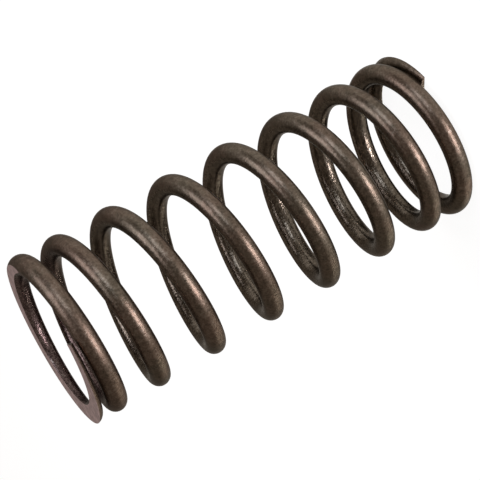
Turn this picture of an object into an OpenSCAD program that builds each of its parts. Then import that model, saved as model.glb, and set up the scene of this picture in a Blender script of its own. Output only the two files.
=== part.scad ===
// Engine valve spring: one round wire wound right-handed into a cylindrical
// compression spring with closed ends, each ground flat across the coil axis.
// It stands on its lower ground face, with the coil axis on +Z and the lower
// wire tip at +X. All lengths are in millimetres.

/* [Wire] */
// Diameter of the round wire
wire_d = 3.2; // [2.6:0.1:3.8]

/* [Coil] */
// Outside diameter of the coil
outer_d = 27.2; // [23:0.1:33]
// Height between the two ground faces with no load on the spring
free_length = 67; // [58:0.1:80]
// Turns of wire from one tip to the other
total_turns = 8.8875; // [7.5:0.0125:10]

/* [Closed ends] */
// Gap left between each wire tip and the turn beside it
tip_gap = 0.4; // [0.1:0.05:0.6]
// Turns from each tip that keep the closed pitch
closed_turns = 0.4; // [0:0.05:0.7]
// Turns from each tip by which the pitch has opened fully
lead_turns = 3.3; // [2:0.05:3.7]
// Power of the curve on which the pitch opens, 1 being a straight line
lead_power = 1.6; // [1:0.1:2.4]

/* [Ground faces] */
// Thickness of wire that grinding leaves at each tip
tip_t = 0.6; // [0.4:0.1:1.4]

/* [Smoothness] */
// Cross-sections in one turn of wire
rings_per_turn = 40; // [24:4:44]
// Sides of each cross-section
wire_sides = 14; // [10:2:14]

/* [Hidden] */

spring_colour = [0.33, 0.28, 0.24];

mean_r = (outer_d - wire_d) / 2;
half_turns = total_turns / 2;

// Height of the wire's centre at the lower tip, below the ground face
tip_z = tip_t - wire_d / 2;

// How far the pitch has opened after the given turns from a tip, from 0 to 1
function opening(turns) =
    let (t = min(max((turns - closed_turns) / (lead_turns - closed_turns), 0), 1))
    1 - pow(1 - t, lead_power);

// The sum of opening() from the tip to the given turns
function opening_sum(turns) =
    let (lead = lead_turns - closed_turns,
         t = min(max((turns - closed_turns) / lead, 0), 1),
         k = lead_power + 1)
    lead * (t - (1 - pow(1 - t, k)) / k) + max(turns - lead_turns, 0);

// The first turn climbs by the wire and the tip gap, and half of all turns
// climb to half of the free length. These two give both pitches.
first_rise = wire_d + tip_gap;
half_rise = free_length / 2 - tip_z;
pitch_gain = (half_rise - first_rise * half_turns)
           / (opening_sum(half_turns) - opening_sum(1) * half_turns);
closed_pitch = first_rise - pitch_gain * opening_sum(1);

// Climb of the wire's centre in the given turns from a tip
function climb(turns) = closed_pitch * turns + pitch_gain * opening_sum(turns);

// Height of the wire's centre and its pitch. The upper half is the lower half
// turned end for end.
function centre_z(turns) = turns <= half_turns
    ? tip_z + climb(turns)
    : free_length - tip_z - climb(total_turns - turns);
function pitch(turns) =
    closed_pitch + pitch_gain * opening(min(turns, total_turns - turns));

// The flat-sided section has the area of the round wire
section_r = wire_d / 2 / sqrt(wire_sides * sin(360 / wire_sides) / (2 * PI));

// One cross-section of the wire, square to the helix
function ring(turns) =
    let (a = 360 * turns,
         lead_angle = atan2(pitch(turns), 2 * PI * mean_r),
         radial = [cos(a), sin(a), 0],
         normal = [sin(lead_angle) * sin(a), -sin(lead_angle) * cos(a), cos(lead_angle)],
         centre = [mean_r * cos(a), mean_r * sin(a), centre_z(turns)])
    [for (i = [0:wire_sides - 1])
        let (b = 360 * i / wire_sides)
        centre + section_r * (cos(b) * radial + sin(b) * normal)];

// The wire as wound, before its ends are ground
module wound_wire() {
    last = round(total_turns * rings_per_turn);
    points = [for (k = [0:last]) each ring(total_turns * k / last)];
    side = [for (k = [0:last - 1], i = [0:wire_sides - 1])
        let (j = (i + 1) % wire_sides,
             a = k * wire_sides,
             b = a + wire_sides)
        each [[a + i, b + i, b + j], [a + i, b + j, a + j]]];
    start_cap = [[for (i = [0:wire_sides - 1]) i]];
    end_cap = [[for (i = [wire_sides - 1:-1:0]) last * wire_sides + i]];
    polyhedron(points, concat(start_cap, side, end_cap), convexity = 20);
}

// The spring keeps the height between its ground faces
module valve_spring() {
    color(spring_colour)
        intersection() {
            wound_wire();
            cylinder(d = outer_d + 2 * wire_d, h = free_length, $fn = 64);
        }
}

valve_spring();
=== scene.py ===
"""Engine valve spring: the wound wire with its ground ends, its finish and a plain studio."""

import math

import bmesh
import bpy
from mathutils import Matrix, Vector


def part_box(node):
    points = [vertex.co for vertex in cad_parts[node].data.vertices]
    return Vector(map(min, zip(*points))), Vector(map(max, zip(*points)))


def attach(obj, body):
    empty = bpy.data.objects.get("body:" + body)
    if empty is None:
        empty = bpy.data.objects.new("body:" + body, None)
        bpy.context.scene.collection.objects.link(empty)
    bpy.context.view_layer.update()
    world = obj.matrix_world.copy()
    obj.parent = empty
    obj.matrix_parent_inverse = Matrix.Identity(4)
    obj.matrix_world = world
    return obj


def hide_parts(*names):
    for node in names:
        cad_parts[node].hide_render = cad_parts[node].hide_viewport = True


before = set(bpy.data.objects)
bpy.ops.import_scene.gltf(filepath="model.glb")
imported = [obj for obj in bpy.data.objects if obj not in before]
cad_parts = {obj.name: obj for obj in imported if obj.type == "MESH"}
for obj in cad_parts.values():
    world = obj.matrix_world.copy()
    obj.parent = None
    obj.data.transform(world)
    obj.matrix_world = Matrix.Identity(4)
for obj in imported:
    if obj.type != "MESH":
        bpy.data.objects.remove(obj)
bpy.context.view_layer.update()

bl_info = {
    "name": "Engine Valve Spring",
    "version": (1, 0, 0),
    "blender": (4, 5, 0),
    "location": "View3D > Sidebar > Valve Spring",
    "description": "Models a closed and ground compression spring and its studio",
    "category": "Mesh",
}

NODE = "valve_spring"
SPRING_LOW, SPRING_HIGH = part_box(NODE)
SPRING_CENTRE = (SPRING_LOW + SPRING_HIGH) / 2

MM = 0.001

# Side of the photograph, in pixels
PHOTO_SIDE = 480
# Width of the camera's sensor, in millimetres
SENSOR_WIDTH = 36
# Nearest distance that the camera sees
NEAREST_SEEN = 10 * MM

# Corners nearer than this to a cut are set on it
SLIVER = 0.02 * MM
# Corners nearer than this to each other are made one
MERGE = 0.0001 * MM
# A ground face's middle is nearer than this to the face's height
ON_FACE = 0.001 * MM
# A ground face's normal rises by more than this
LEVEL_FACE = 0.9999
# The normal of a wire tip's own face rises by less than this
UPRIGHT_FACE = 0.5
# A wire tip's own face has more corners than this
TIP_CORNERS = 6
# Faces that meet at less than this angle are shaded as one
SMOOTH_ANGLE = math.radians(25)


# Sizes and colours that a user would change

class SpringSizes(bpy.types.PropertyGroup):
    """Sizes of the wound wire, as in the part's source."""

    wire_d: bpy.props.FloatProperty(
        name="Wire diameter", description="Diameter of the round wire",
        default=3.2 * MM, unit="LENGTH", precision=5)
    outer_d: bpy.props.FloatProperty(
        name="Outside diameter", description="Outside diameter of the coil",
        default=27.2 * MM, unit="LENGTH", precision=5)
    free_length: bpy.props.FloatProperty(
        name="Free length", description="Height between the two ground faces",
        default=SPRING_HIGH.z - SPRING_LOW.z, unit="LENGTH", precision=5)
    total_turns: bpy.props.FloatProperty(
        name="Turns", description="Turns of wire from one tip to the other", default=8.8875)
    tip_gap: bpy.props.FloatProperty(
        name="Tip gap", description="Gap between each wire tip and the turn beside it",
        default=0.4 * MM, unit="LENGTH", precision=5)
    closed_turns: bpy.props.FloatProperty(
        name="Closed turns", description="Turns from each tip that keep the closed pitch",
        default=0.4)
    lead_turns: bpy.props.FloatProperty(
        name="Lead turns", description="Turns from each tip by which the pitch is fully open",
        default=3.3)
    lead_power: bpy.props.FloatProperty(
        name="Lead power", description="Power of the curve on which the pitch opens",
        default=1.6)
    tip_t: bpy.props.FloatProperty(
        name="Tip thickness", description="Wire that grinding leaves at each tip",
        default=0.6 * MM, unit="LENGTH", precision=5)
    rim_bevel: bpy.props.FloatProperty(
        name="Rim bevel", description="Width of the worn edge round each wire tip",
        default=0.10 * MM, unit="LENGTH", precision=5)
    rings_per_turn: bpy.props.IntProperty(
        name="Rings per turn", description="Cross-sections in one turn of wire", default=112)
    wire_sides: bpy.props.IntProperty(
        name="Wire sides", description="Sides of the cross-section, an even number",
        default=36)


class SpringFinish(bpy.types.PropertyGroup):
    """Colours of the steel and of its ground faces."""

    steel: bpy.props.FloatVectorProperty(
        name="Steel", description="Oil-tempered and shot-peened steel", subtype="COLOR",
        size=3, min=0, max=1, default=(0.141, 0.111, 0.086))
    ground: bpy.props.FloatVectorProperty(
        name="Ground face", description="Ground steel, dulled by age", subtype="COLOR",
        size=3, min=0, max=1, default=(0.56, 0.425, 0.43))


class StudioSettings(bpy.types.PropertyGroup):
    """Floor, lamps and camera."""

    floor_side: bpy.props.FloatProperty(
        name="Floor side", description="Side of the square floor",
        default=6.0, unit="LENGTH")
    world_level: bpy.props.FloatProperty(
        name="World level", description="Brightness of the plain world", default=0.26)
    camera_azimuth: bpy.props.FloatProperty(
        name="Camera azimuth", description="Direction of the camera from the spring",
        default=math.radians(-33.232), unit="ROTATION")
    camera_elevation: bpy.props.FloatProperty(
        name="Camera elevation", description="Angle of the camera above the floor",
        default=math.radians(16.668), unit="ROTATION")
    camera_roll: bpy.props.FloatProperty(
        name="Camera roll", description="Turn of the camera about its line of sight",
        default=math.radians(119.412), unit="ROTATION")
    camera_distance: bpy.props.FloatProperty(
        name="Camera distance", description="Distance from the camera to its target",
        default=233.4 * MM, unit="LENGTH")
    camera_target: bpy.props.FloatVectorProperty(
        name="Camera target", description="Point in the middle of the picture",
        subtype="TRANSLATION", default=(-0.508 * MM, -0.235 * MM, 34.490 * MM))
    focal_px: bpy.props.FloatProperty(
        name="Focal length", description="Focal length in pixels of the photograph",
        default=1541.95)


# The wire's path

class CoilPath:
    """Height, pitch and centre of the wire at any number of turns from the lower tip."""

    def __init__(self, sizes):
        self.sizes = sizes
        self.mean_r = (sizes.outer_d - sizes.wire_d) / 2
        self.half_turns = sizes.total_turns / 2
        self.tip_z = sizes.tip_t - sizes.wire_d / 2
        first_rise = sizes.wire_d + sizes.tip_gap
        half_rise = sizes.free_length / 2 - self.tip_z
        self.gain = (half_rise - first_rise * self.half_turns) / (
            self.opening_sum(self.half_turns) - self.opening_sum(1) * self.half_turns)
        self.closed_pitch = first_rise - self.gain * self.opening_sum(1)

    def lead_share(self, turns):
        """How far along the lead the wire is, from 0 to 1."""
        lead = self.sizes.lead_turns - self.sizes.closed_turns
        return min(max((turns - self.sizes.closed_turns) / lead, 0), 1)

    def opening_sum(self, turns):
        """The opened share of the pitch, summed from the tip to the given turns."""
        lead = self.sizes.lead_turns - self.sizes.closed_turns
        share = self.lead_share(turns)
        power = self.sizes.lead_power + 1
        rest = max(turns - self.sizes.lead_turns, 0)
        return lead * (share - (1 - (1 - share) ** power) / power) + rest

    def climb(self, turns):
        """Rise of the wire's centre from a tip."""
        return self.closed_pitch * turns + self.gain * self.opening_sum(turns)

    def height(self, turns):
        """Height of the wire's centre. The upper half is the lower one end for end."""
        if turns <= self.half_turns:
            return self.tip_z + self.climb(turns)
        return self.sizes.free_length - self.tip_z - self.climb(self.sizes.total_turns - turns)

    def centre(self, turns):
        """Centre of the wire."""
        a = 2 * math.pi * turns
        return Vector((self.mean_r * math.cos(a), self.mean_r * math.sin(a), self.height(turns)))


# Modelling helpers

def deselect_all():
    """Leaves object mode active with nothing selected."""
    if bpy.context.object and bpy.context.object.mode != "OBJECT":
        bpy.ops.object.mode_set(mode="OBJECT")
    bpy.ops.object.select_all(action="DESELECT")


def make_active(piece):
    """Selects one object alone and makes it active."""
    deselect_all()
    piece.select_set(True)
    bpy.context.view_layer.objects.active = piece


def select_in_edit_mode(piece, kind, test):
    """Selects the piece's faces or edges that pass the test, in edit mode."""
    bpy.ops.mesh.select_all(action="DESELECT")
    bpy.ops.mesh.select_mode(type=kind)
    edit = bmesh.from_edit_mesh(piece.data)
    items = edit.faces if kind == "FACE" else edit.edges
    for item in items:
        item.select_set(test(item))
    bmesh.update_edit_mesh(piece.data)


# Shader helpers

class Socket:
    """Wraps a shader socket so that values can be combined in plain expressions."""

    def __init__(self, graph, socket):
        self.graph = graph
        self.socket = socket

    def _math(self, operation, *values, clamp=False):
        values = dict(enumerate(values))
        return self.graph.add("Math", {"operation": operation, "use_clamp": clamp}, values)

    def __add__(self, other):
        return self._math("ADD", self, other)

    def __sub__(self, other):
        return self._math("SUBTRACT", self, other)

    def __rsub__(self, other):
        return self._math("SUBTRACT", other, self)

    def __mul__(self, other):
        return self._math("MULTIPLY", self, other)

    def at_least(self, low):
        """The value, or low where it is less."""
        return self._math("MAXIMUM", self, low)

    def clamped(self):
        """The value, held between 0 and 1."""
        return self._math("ADD", self, 0.0, clamp=True)

    def band(self, low, high):
        """A smooth step from 0 at low to 1 at high."""
        return self.graph.add(
            "MapRange", {"interpolation_type": "SMOOTHSTEP"},
            {"Value": self, "From Min": low, "From Max": high})

    def between(self, at_zero, at_one):
        """A value that goes from at_zero to at_one as this one goes from 0 to 1."""
        return self * (at_one - at_zero) + at_zero


class Graph:
    """Builds the node tree of one material or of the world."""

    def __init__(self, tree):
        self.tree = tree
        tree.nodes.clear()

    def add(self, kind, settings=None, inputs=None, output=0):
        """Adds a node of a type, with its settings first and then its sockets."""
        node = self.tree.nodes.new("ShaderNode" + kind)
        for name, value in (settings or {}).items():
            setattr(node, name, value)
        for name, value in (inputs or {}).items():
            target = node.inputs[name]
            if isinstance(value, Socket):
                self.tree.links.new(value.socket, target)
            else:
                target.default_value = value
        return Socket(self, node.outputs[output]) if node.outputs else None

    def object_coordinates(self):
        """Place on the piece, in metres."""
        return self.add("TexCoord", output="Object")

    def noise(self, place, cell, detail=2.0, roughness=0.6):
        """Noise whose patches are about one cell across, in metres, from 0 to 1."""
        return self.add("TexNoise", {}, {
            "Vector": place, "Scale": 1 / cell, "Detail": detail, "Roughness": roughness})

    def cells(self, place, cell, smoothness=0.4):
        """Round dents that meet each other, about one cell across, 0 at their middles."""
        return self.add("TexVoronoi", {"feature": "SMOOTH_F1"}, {
            "Vector": place, "Scale": 1 / cell, "Smoothness": smoothness})

    def distance_from_axis(self, place):
        """Distance from the coil axis, in metres."""
        level = self.add("VectorMath", {"operation": "MULTIPLY"}, {0: place, 1: (1, 1, 0)})
        return self.add("VectorMath", {"operation": "LENGTH"}, {0: level}, output="Value")

    def coordinate(self, place, axis):
        """One coordinate of a place, in metres."""
        return self.add("SeparateXYZ", {}, {0: place}, output=axis)

    def scaled(self, colour, factor):
        """A colour made lighter or darker."""
        return self.add("VectorMath", {"operation": "SCALE"}, {0: colour, "Scale": factor})

    def mix(self, share, first, second):
        """A colour between two colours."""
        return self.add("Mix", {"data_type": "RGBA"}, {0: share, 6: first, 7: second}, output=2)

    def finish(self, shader, target="Material"):
        """Joins a shader to the output."""
        self.add("Output" + target, {}, {"Surface": shader})


def rgba(colour, level=1.0):
    """A colour with full alpha, scaled in brightness."""
    return (colour[0] * level, colour[1] * level, colour[2] * level, 1.0)


def toned(colour, tone):
    """A colour whose red, green and blue are each scaled by the tone's."""
    return rgba([channel * scale for channel, scale in zip(colour, tone)])


# Materials

# The wound steel: cells of its patterns, and depth of its relief
DENT_CELL = 0.36 * MM
GRAIN_CELL = 0.30 * MM
BLOTCH_CELL = 0.85 * MM
PATCH_CELL = 7.0 * MM
DENT_DEPTH = 0.022 * MM
# Its tones, as scales of red, green and blue. Olive and copper are outside, grey is inside,
# plum is inside at the upper end, and bare is where the crests are rubbed.
TONES = {
    "olive": (0.97, 1.01, 1.00),
    "copper": (1.08, 0.99, 0.99),
    "grey": (0.98, 1.02, 1.04),
    "plum": (0.98, 0.87, 1.08),
    "bare": (1.05, 1.20, 1.34),
}
# Values of the patterns between which copper patches and rubbed crests set in
COPPER_BAND = (0.55, 0.95)
CREST_BAND = (0.5, 0.7)
# Share of bare steel on the crests, outside and inside
CREST_SHARE = (0.6, 0.9)
# Contrast of the grain outside and inside, and of the blotches
GRAIN_CONTRAST = (1.5, 2.8)
BLOTCH_CONTRAST = 1.1
# Lightness outside and inside, and its lower limit
LIGHTNESS = (1.0, 1.06)
LEAST_LIGHTNESS = 0.25
# Strength of the relief outside and inside
RELIEF = (1.0, 1.6)
# Roughness, and what the grain, the inner side and the upper end add to it
STEEL_ROUGHNESS = 0.26
GRAIN_ROUGHNESS = 0.16
INNER_ROUGHNESS = -0.12
END_ROUGHNESS = 0.05
# Tint of what the steel mirrors at a grazing angle
GRAZING_TINT = (0.55, 0.55, 0.55)
# The inner side's finish fades out from the first distance inside the mean radius to the
# second one outside it
INNER_FADE = (0.9 * MM, 0.7 * MM)
# Shares of the height between which the upper end's finish sets in
UPPER_END = (0.84, 0.96)

# The ground faces: cells of their marks and blots, and depth of the marks
MARK_CELL = 0.12 * MM
BLOT_CELL = 0.9 * MM
MARK_DEPTH = 0.012 * MM
# Scale of the marks' pattern, which stretches them along X
MARK_SCALE = (0.08, 1.0, 1.0)
# Darkest and lightest level, and the values of the pattern that give them
GROUND_LEVELS = (0.68, 1.30)
GROUND_BAND = (0.25, 0.75)
# Strength of the relief, the roughness, and what the marks add to it
GROUND_RELIEF = 0.5
GROUND_ROUGHNESS = 0.45
MARK_ROUGHNESS = 0.1

# The floor as the camera sees it, and as metal mirrors it with painted shade and painted light on
# its glow
FLOOR_WHITE = (1.0, 1.0, 1.0)
FLOOR_PAINTED_SHADE = (0.38, 0.34, 0.29)
FLOOR_PAINTED_LIGHT = (0.81, 0.79, 0.74)
# Level of the floor's glow, and the colour that scatters the lamps' light
FLOOR_GLOW = 0.92
FLOOR_MATT = (0.25, 0.25, 0.25)
# Places along X between which the painted shade on the mirrored floor passes into painted light
PAINTED_LIGHT_X = (-35 * MM, 15 * MM)
# Places along X where painted shade dims that light again, and along Y where it fades out
PAINTED_SHADE_X = (12 * MM, 40 * MM)
PAINTED_SHADE_Y = (-5 * MM, 35 * MM)
PAINTED_SHADE_SHARE = 0.6

WORLD_COLOUR = (1.0, 0.88, 0.75)


def new_material(name):
    """A material with an empty node tree, and the graph that fills it."""
    material = bpy.data.materials.new(name)
    material.use_nodes = True
    return material, Graph(material.node_tree)


def spring_steel(colour, mean_r):
    """Brown oil-tempered steel with the fine dents of shot peening."""
    material, g = new_material("spring_steel")
    place = g.object_coordinates()
    dents = g.cells(place, DENT_CELL)
    grain = g.noise(place, GRAIN_CELL)
    blotches = g.noise(place, BLOTCH_CELL)
    patches = g.noise(place, PATCH_CELL, roughness=0.5)
    inside = 1.0 - g.distance_from_axis(place).band(mean_r - INNER_FADE[0], mean_r + INNER_FADE[1])
    end = g.coordinate(place, "Z").band(*(SPRING_HIGH.z * share for share in UPPER_END))
    tones = {name: toned(colour, tone) for name, tone in TONES.items()}
    coppery = (patches + blotches * 0.5 + end * 0.2).band(*COPPER_BAND)
    outer = g.mix(coppery, tones["olive"], tones["copper"])
    inner = g.mix(end, tones["grey"], tones["plum"])
    crests = (grain * 0.6 + blotches * 0.4).band(*CREST_BAND) * inside.between(*CREST_SHARE)
    rubbed = g.mix(crests, g.mix(inside, outer, inner), tones["bare"])
    specks = (grain - 0.5) * inside.between(*GRAIN_CONTRAST) + (blotches - 0.5) * BLOTCH_CONTRAST
    lightness = ((specks + 1.0) * inside.between(*LIGHTNESS)).at_least(LEAST_LIGHTNESS)
    height = (dents * 0.6 + grain * 0.5) * inside.between(*RELIEF)
    roughness = (grain * GRAIN_ROUGHNESS + STEEL_ROUGHNESS
                 + inside * INNER_ROUGHNESS + end * END_ROUGHNESS)
    normal = g.add("Bump", {}, {"Strength": 1.0, "Distance": DENT_DEPTH, "Height": height})
    g.finish(g.add("BsdfPrincipled", {}, {
        "Base Color": g.scaled(rubbed, lightness), "Metallic": 1.0, "Roughness": roughness,
        "Specular Tint": rgba(GRAZING_TINT), "Normal": normal}))
    return material


def ground_steel(colour):
    """Ground end face, with faint grinding marks."""
    material, g = new_material("ground_face")
    place = g.object_coordinates()
    along = g.add("Mapping", {}, {"Vector": place, "Scale": MARK_SCALE})
    marks = g.noise(along, MARK_CELL, detail=3.0)
    blots = g.noise(place, BLOT_CELL, detail=4.0)
    light = (blots + (marks - 0.5) * 0.4).band(*GROUND_BAND)
    tone = g.mix(light, *(rgba(colour, level) for level in GROUND_LEVELS))
    normal = g.add("Bump", {}, {
        "Strength": GROUND_RELIEF, "Distance": MARK_DEPTH, "Height": marks})
    g.finish(g.add("BsdfPrincipled", {}, {
        "Base Color": tone, "Metallic": 1.0,
        "Roughness": marks * MARK_ROUGHNESS + GROUND_ROUGHNESS, "Normal": normal}))
    return material


def floor_white():
    """White floor that shows as white, still takes a soft shadow, and carries painted shade where
    metal mirrors it.
    """
    material, g = new_material("studio_floor")
    camera_ray, glossy_ray, through_ray = (
        g.add("LightPath", output=name)
        for name in ("Is Camera Ray", "Is Glossy Ray", "Is Transmission Ray"))
    # Metal sees painted shade on the floor towards -X, and painted shade again towards +X and -Y
    place = g.object_coordinates()
    x = g.coordinate(place, "X")
    y = g.coordinate(place, "Y")
    painted_shade_mask = x.band(*PAINTED_SHADE_X) * (1.0 - y.band(*PAINTED_SHADE_Y))
    painted_light_share = x.band(*PAINTED_LIGHT_X) - painted_shade_mask * PAINTED_SHADE_SHARE
    painted_reflection = g.mix(painted_light_share, rgba(FLOOR_PAINTED_SHADE), rgba(FLOOR_PAINTED_LIGHT))
    tint = g.mix(glossy_ray, rgba(FLOOR_WHITE), painted_reflection)
    seen = (camera_ray + glossy_ray + through_ray).clamped()
    glow = g.add("Emission", {}, {"Color": tint, "Strength": seen * FLOOR_GLOW})
    matt = g.add("BsdfDiffuse", {}, {"Color": rgba(FLOOR_MATT)})
    g.finish(g.add("AddShader", {}, {0: glow, 1: matt}))
    return material


# Operators

class VALVESPRING_OT_wire(bpy.types.Operator):
    """Winds the wire, grinds both ends flat and gives it its finish"""

    bl_idname = "valvespring.wire"
    bl_label = "Wound Wire"

    def execute(self, context):
        sizes = context.scene.spring_sizes
        finish = context.scene.spring_finish
        path = CoilPath(sizes)
        piece = self.wind(path, sizes)
        for height, up in ((sizes.free_length, 1), (0.0, -1)):
            self.grind(piece, height, up)
        piece.data.materials.clear()
        piece.data.materials.append(spring_steel(finish.steel, path.mean_r))
        piece.data.materials.append(ground_steel(finish.ground))
        self.finish_faces(piece, sizes)
        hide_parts(NODE)
        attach(piece, "root")
        return {"FINISHED"}

    @staticmethod
    def wind(path, sizes):
        """The wire as wound, a bevelled curve made into a mesh."""
        deselect_all()
        bpy.ops.curve.primitive_nurbs_path_add(location=(0, 0, 0))
        bpy.context.object.name = "wound_wire"
        curve = bpy.context.object.data
        curve.splines.clear()
        curve.twist_mode = "Z_UP"
        curve.bevel_depth = sizes.wire_d / 2
        curve.bevel_resolution = (sizes.wire_sides - 4) // 2
        curve.use_fill_caps = True
        last = round(sizes.total_turns * sizes.rings_per_turn)
        spline = curve.splines.new("POLY")
        spline.points.add(last)
        for k, point in enumerate(spline.points):
            point.co = (*path.centre(sizes.total_turns * k / last), 1.0)
        bpy.ops.object.convert(target="MESH")
        return bpy.context.object

    @staticmethod
    def grind(piece, height, up):
        """Cuts off what stands past a ground face and fills the cut."""
        make_active(piece)
        # A corner that all but touches the cut is set on it, so that no sliver is left
        for vertex in piece.data.vertices:
            if abs(vertex.co.z - height) < SLIVER:
                vertex.co.z = height
        bpy.ops.object.mode_set(mode="EDIT")
        bpy.ops.mesh.select_mode(type="VERT")
        bpy.ops.mesh.select_all(action="SELECT")
        bpy.ops.mesh.remove_doubles(threshold=MERGE)
        bpy.ops.mesh.bisect(
            plane_co=(0, 0, height), plane_no=(0, 0, up), use_fill=True, clear_outer=True,
            threshold=MERGE)
        bpy.ops.object.mode_set(mode="OBJECT")

    @staticmethod
    def finish_faces(piece, sizes):
        """Rounds the tips' rims, marks the ground faces and smooths the rest."""
        make_active(piece)
        bpy.ops.object.mode_set(mode="EDIT")
        heights = (0.0, sizes.free_length)

        def is_ground(face):
            z = face.calc_center_median().z
            return abs(face.normal.z) > LEVEL_FACE and min(abs(z - h) for h in heights) < ON_FACE

        def is_tip_rim(edge):
            return any(len(face.verts) > TIP_CORNERS and abs(face.normal.z) < UPRIGHT_FACE
                       for face in edge.link_faces)

        select_in_edit_mode(piece, "EDGE", is_tip_rim)
        bpy.ops.mesh.bevel(
            offset=sizes.rim_bevel, offset_type="OFFSET", segments=2, profile=0.5)
        select_in_edit_mode(piece, "FACE", is_ground)
        edit = bmesh.from_edit_mesh(piece.data)
        for face in edit.faces:
            face.material_index = 1 if face.select else 0
        bmesh.update_edit_mesh(piece.data)
        bpy.ops.object.mode_set(mode="OBJECT")
        bpy.ops.object.shade_smooth_by_angle(angle=SMOOTH_ANGLE)


class VALVESPRING_OT_stage(bpy.types.Operator):
    """Adds the floor, the world, the lamps and the camera"""

    bl_idname = "valvespring.stage"
    bl_label = "Studio"

    # Direction towards each lamp as the camera sees it: right, up and towards the camera
    LAMPS = {
        "key": {"towards": (0.81, 0.03, 0.59), "level": 1.92, "side": 0.36,
                "colour": (1.0, 0.94, 0.99)},
        "fill": {"towards": (-0.24, 0.56, 0.79), "level": 0.84, "side": 0.34,
                 "colour": (0.82, 0.90, 1.0)},
        "top": {"towards": (-0.92, 0.03, 0.39), "level": 1.38, "side": 0.50,
                "colour": (0.92, 0.92, 1.0)},
        "back": {"towards": (-0.72, 0.62, -0.30), "level": 0.25, "side": 0.50,
                 "colour": (1.0, 1.0, 1.0)},
        "under": {"towards": (0.73, -0.50, -0.47), "level": 0.34, "side": 0.50,
                  "colour": (1.0, 0.97, 0.88)},
    }
    LAMP_DISTANCE = 0.7

    def execute(self, context):
        studio = context.scene.spring_studio
        camera = self.add_camera(context, studio)
        self.add_floor(studio)
        self.add_world(context, studio)
        for name, lamp in self.LAMPS.items():
            self.add_lamp(camera, name, lamp)
        context.scene.view_settings.view_transform = "Standard"
        return {"FINISHED"}

    @staticmethod
    def add_camera(context, studio):
        """The camera at the photograph's viewing angle."""
        towards = Vector((
            math.cos(studio.camera_elevation) * math.cos(studio.camera_azimuth),
            math.cos(studio.camera_elevation) * math.sin(studio.camera_azimuth),
            math.sin(studio.camera_elevation)))
        right = Vector((0, 0, 1)).cross(towards).normalized()
        up = towards.cross(right)
        level = Matrix((right, up, towards)).transposed()
        turned = level @ Matrix.Rotation(-studio.camera_roll, 3, "Z")
        data = bpy.data.cameras.new("camera")
        data.sensor_width = SENSOR_WIDTH
        data.lens = studio.focal_px * data.sensor_width / PHOTO_SIDE
        data.clip_start = NEAREST_SEEN
        camera = bpy.data.objects.new("camera", data)
        place = Vector(studio.camera_target) + towards * studio.camera_distance
        camera.matrix_world = Matrix.Translation(place) @ turned.to_4x4()
        context.scene.collection.objects.link(camera)
        context.scene.camera = camera
        return camera

    @staticmethod
    def add_floor(studio):
        """A plain white floor that the spring stands on."""
        deselect_all()
        bpy.ops.mesh.primitive_plane_add(size=studio.floor_side, location=(0, 0, SPRING_LOW.z))
        floor = bpy.context.object
        floor.name = "studio_floor"
        floor.visible_shadow = False
        floor.data.materials.append(floor_white())

    @staticmethod
    def add_world(context, studio):
        """A plain world that lights evenly."""
        world = bpy.data.worlds.new("studio_world")
        world.use_nodes = True
        context.scene.world = world
        g = Graph(world.node_tree)
        g.finish(g.add("Background", {}, {
            "Color": rgba(WORLD_COLOUR), "Strength": studio.world_level}), "World")

    @classmethod
    def add_lamp(cls, camera, name, lamp):
        """A square soft lamp that faces the spring."""
        towards = (camera.matrix_world.to_3x3() @ Vector(lamp["towards"])).normalized()
        data = bpy.data.lights.new(name, "AREA")
        data.shape = "SQUARE"
        data.size = lamp["side"]
        data.color = lamp["colour"]
        # An area lamp's power over pi and its distance squared is the light that it gives
        data.energy = lamp["level"] * math.pi * cls.LAMP_DISTANCE ** 2
        # A lamp below the floor shines through it, so only direct rays count it
        data.cycles.use_multiple_importance_sampling = towards.z > 0
        light = bpy.data.objects.new(name, data)
        place = SPRING_CENTRE + towards * cls.LAMP_DISTANCE
        turned = towards.to_track_quat("Z", "Y").to_matrix()
        light.matrix_world = Matrix.Translation(place) @ turned.to_4x4()
        bpy.context.scene.collection.objects.link(light)


class VALVESPRING_PT_panel(bpy.types.Panel):
    """Lists the pieces and their sizes"""

    bl_idname = "VALVESPRING_PT_panel"
    bl_label = "Valve Spring"
    bl_space_type = "VIEW_3D"
    bl_region_type = "UI"
    bl_category = "Valve Spring"

    def draw(self, context):
        scene = context.scene
        for group in (scene.spring_sizes, scene.spring_finish, scene.spring_studio):
            box = self.layout.box()
            for name in group.__annotations__:
                box.prop(group, name)
        for operator in OPERATORS:
            self.layout.operator(operator.bl_idname)


OPERATORS = (VALVESPRING_OT_wire, VALVESPRING_OT_stage)
GROUPS = {
    "spring_sizes": SpringSizes,
    "spring_finish": SpringFinish,
    "spring_studio": StudioSettings,
}


def register():
    for name, group in GROUPS.items():
        bpy.utils.register_class(group)
        setattr(bpy.types.Scene, name, bpy.props.PointerProperty(type=group))
    for cls in (*OPERATORS, VALVESPRING_PT_panel):
        bpy.utils.register_class(cls)


def unregister():
    for cls in reversed((*OPERATORS, VALVESPRING_PT_panel)):
        bpy.utils.unregister_class(cls)
    for name, group in reversed(GROUPS.items()):
        delattr(bpy.types.Scene, name)
        bpy.utils.unregister_class(group)


def main():
    register()
    bpy.ops.valvespring.wire()
    bpy.ops.valvespring.stage()


if __name__ == "__main__":
    main()
